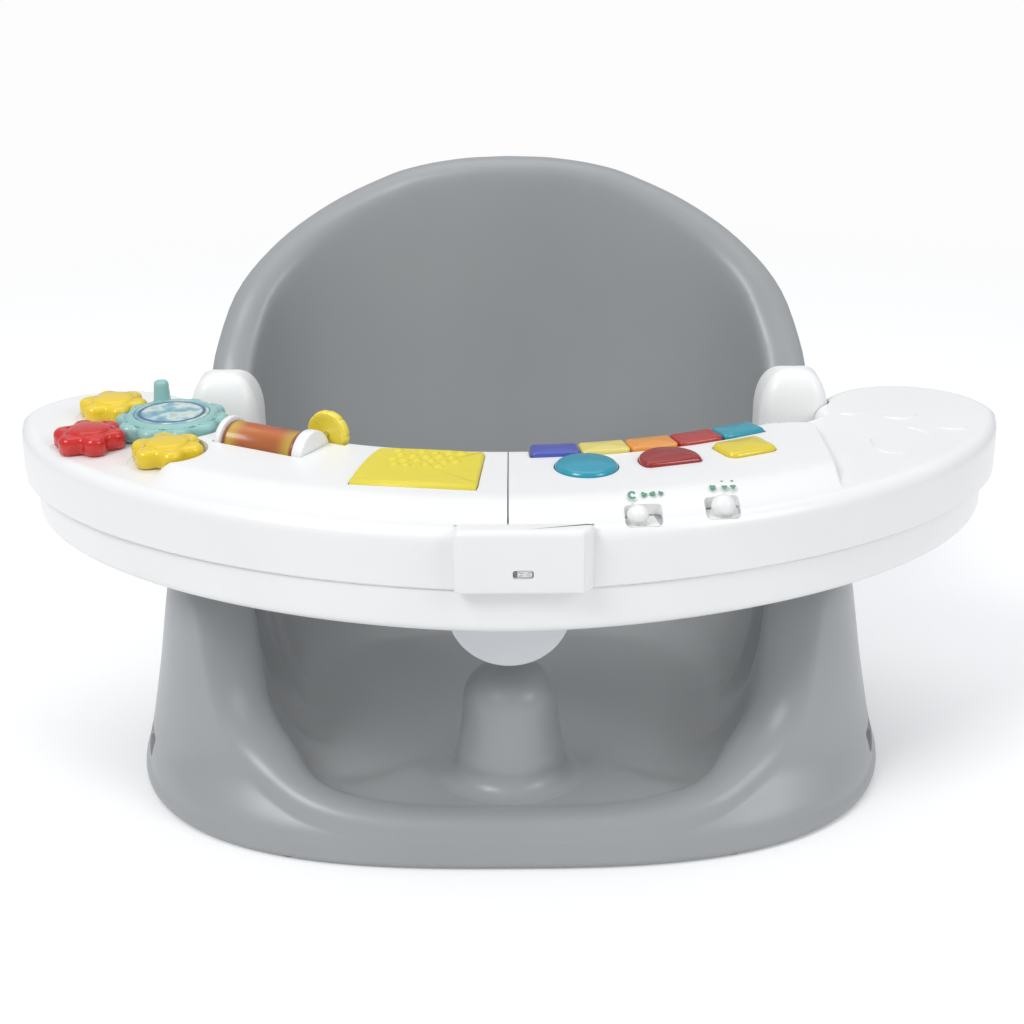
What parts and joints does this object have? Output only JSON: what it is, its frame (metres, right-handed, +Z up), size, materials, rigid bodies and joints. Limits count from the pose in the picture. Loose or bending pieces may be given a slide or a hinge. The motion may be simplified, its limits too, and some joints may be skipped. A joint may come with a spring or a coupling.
{
  "type": "baby floor seat with activity tray",
  "caption": "Moulded floor seat for a baby, with a crotch post, a lift-off feeding tray and a toy module with gears, keys, buttons and a bead roller.",
  "frame": {"origin": "on the floor, in the middle of the footprint's box, trays included", "axes": "+Z up, -Y towards the front of the seat and the tray, +X to the right of someone facing it"},
  "size_m": [0.5442, 0.342, 0.307],
  "materials": {
    "tub_grey": "satin moulded polypropylene",
    "foot_rubber": "matt",
    "tray_white": "satin gloss",
    "module_white": "satin gloss",
    "clip_white": "satin gloss",
    "lever_white": "satin",
    "slider_white": "satin",
    "knob_white": "gloss",
    "cradle_white": "satin gloss",
    "steel": "bright zinc",
    "gear_teal": "satin gloss",
    "disc_blue": "satin",
    "gear_yellow": "gloss",
    "gear_red": "gloss",
    "roller_amber": "clear tinted",
    "bead_brown": "gloss",
    "flap_yellow": "satin, soft touch",
    "wheel_yellow": "gloss",
    "key_violet": "gloss",
    "key_pale": "gloss",
    "key_orange": "gloss",
    "key_red": "gloss",
    "key_teal": "gloss",
    "button_teal": "gloss",
    "button_red": "gloss",
    "button_yellow": "gloss",
    "silicone": "translucent silicone",
    "board_green": "solder mask",
    "speaker_black": "matt",
    "cell_blue": "printed sleeve, bare"
  },
  "bodies": {
    "tub": {"seat_shell": "tub_grey", "foot_pads": "foot_rubber"},
    "tray": {"feeding_tray": "tray_white", "arm_clip_left": "clip_white", "arm_clip_right": "clip_white", "clip_screws": "steel", "lever_pin": "steel", "lever_spring": "steel"},
    "lever": {"release_lever": "lever_white"},
    "module": {"toy_left_top": "module_white", "toy_left_base": "module_white", "toy_right_top": "module_white", "toy_right_base": "module_white", "base_screws": "steel", "latch_cover": "module_white", "gear_pins": "steel", "roller_cradle": "cradle_white", "flap_pin": "steel", "key_sheet": "silicone", "circuit_board": "board_green", "speaker": "speaker_black", "batteries": "cell_blue", "battery_contacts": "steel"},
    "door": {"battery_door": "module_white", "door_screw": "steel"},
    "latch": {"latch_slider": "slider_white"},
    "big_gear": {"big_gear": "gear_teal", "gear_disc": "disc_blue"},
    "rear_gear": {"gear_yellow_rear": "gear_yellow"},
    "red_gear": {"gear_red": "gear_red"},
    "front_gear": {"gear_yellow_front": "gear_yellow"},
    "roller": {"bead_roller": "roller_amber", "roller_caps": "cradle_white", "roller_beads": "bead_brown"},
    "wheel": {"click_wheel": "wheel_yellow", "click_axle": "steel"},
    "flap": {"flap": "flap_yellow"},
    "speed_knob": {"speed_knob": "knob_white"},
    "mode_knob": {"mode_knob": "knob_white"},
    "key_1": {"key_1": "key_violet"},
    "key_2": {"key_2": "key_pale"},
    "key_3": {"key_3": "key_orange"},
    "key_4": {"key_4": "key_red"},
    "key_5": {"key_5": "key_teal"},
    "button_round": {"button_round": "button_teal"},
    "button_half": {"button_half": "button_red"},
    "button_square": {"button_square": "button_yellow"}
  },
  "joints": [
    {"name": "tray_lift", "type": "slide", "parent": "tub", "child": "tray", "axis": [0, 0, 1], "range_m": [0, 0.2]},
    {"name": "lever_hinge", "type": "hinge", "parent": "tray", "child": "lever", "pos_m": [0, -0.119, 0.1385], "axis": [-1, 0, 0], "range_deg": [0, 20], "stiffness_Nm_per_rad": 0.02},
    {"name": "module_lift", "type": "slide", "parent": "tray", "child": "module", "axis": [0, 0, 1], "range_m": [0, 0.15]},
    {"name": "door_lift", "type": "slide", "parent": "module", "child": "door", "axis": [0, 0, -1], "range_m": [0, 0.006]},
    {"name": "latch_slide", "type": "slide", "parent": "module", "child": "latch", "axis": [-1, 0, 0], "range_m": [0, 0.0015]},
    {"name": "big_gear_spin", "type": "hinge", "parent": "module", "child": "big_gear", "pos_m": [-0.182, -0.0177, 0.19], "axis": [0, 0, 1], "continuous": true},
    {"name": "rear_gear_spin", "type": "hinge", "parent": "module", "child": "rear_gear", "pos_m": [-0.21962, 0.00963, 0.19], "axis": [0, 0, 1], "continuous": true},
    {"name": "red_gear_spin", "type": "hinge", "parent": "module", "child": "red_gear", "pos_m": [-0.22165, -0.042, 0.19], "axis": [0, 0, 1], "continuous": true},
    {"name": "front_gear_spin", "type": "hinge", "parent": "module", "child": "front_gear", "pos_m": [-0.17633, -0.06385, 0.19], "axis": [0, 0, 1], "continuous": true},
    {"name": "roller_spin", "type": "hinge", "parent": "module", "child": "roller", "pos_m": [-0.12542, -0.05203, 0.1895], "axis": [0.878, -0.4787, 0], "continuous": true},
    {"name": "click_wheel_spin", "type": "hinge", "parent": "module", "child": "wheel", "pos_m": [-0.09408, -0.0493, 0.1964], "axis": [0.4787, 0.878, 0], "continuous": true},
    {"name": "flap_hinge", "type": "hinge", "parent": "module", "child": "flap", "pos_m": [-0.04626, -0.1174, 0.1906], "axis": [0.988, -0.1547, 0], "range_deg": [0, 100]},
    {"name": "key_1_press", "type": "slide", "parent": "module", "child": "key_1", "axis": [0, 0, -1], "range_m": [0, 0.0025], "stiffness_N_per_m": 400},
    {"name": "key_2_press", "type": "slide", "parent": "module", "child": "key_2", "axis": [0, 0, -1], "range_m": [0, 0.0025], "stiffness_N_per_m": 400},
    {"name": "key_3_press", "type": "slide", "parent": "module", "child": "key_3", "axis": [0, 0, -1], "range_m": [0, 0.0025], "stiffness_N_per_m": 400},
    {"name": "key_4_press", "type": "slide", "parent": "module", "child": "key_4", "axis": [0, 0, -1], "range_m": [0, 0.0025], "stiffness_N_per_m": 400},
    {"name": "key_5_press", "type": "slide", "parent": "module", "child": "key_5", "axis": [0, 0, -1], "range_m": [0, 0.0025], "stiffness_N_per_m": 400},
    {"name": "button_round_press", "type": "slide", "parent": "module", "child": "button_round", "axis": [0, 0, -1], "range_m": [0, 0.0025], "stiffness_N_per_m": 400},
    {"name": "button_half_press", "type": "slide", "parent": "module", "child": "button_half", "axis": [0, 0, -1], "range_m": [0, 0.0025], "stiffness_N_per_m": 400},
    {"name": "button_square_press", "type": "slide", "parent": "module", "child": "button_square", "axis": [0, 0, -1], "range_m": [0, 0.0025], "stiffness_N_per_m": 400},
    {"name": "speed_slide", "type": "slide", "parent": "module", "child": "speed_knob", "axis": [0.9848, 0.1736, 0], "range_m": [0, 0.0062]},
    {"name": "mode_slide", "type": "slide", "parent": "module", "child": "mode_knob", "axis": [0.9659, 0.2588, 0], "range_m": [-0.0025, 0.0025]}
  ],
  "couplings": [
    {"joint": "rear_gear_spin", "follows": "big_gear_spin", "ratio": -1.6667},
    {"joint": "red_gear_spin", "follows": "big_gear_spin", "ratio": -1.6667},
    {"joint": "front_gear_spin", "follows": "big_gear_spin", "ratio": -1.6667}
  ]
}
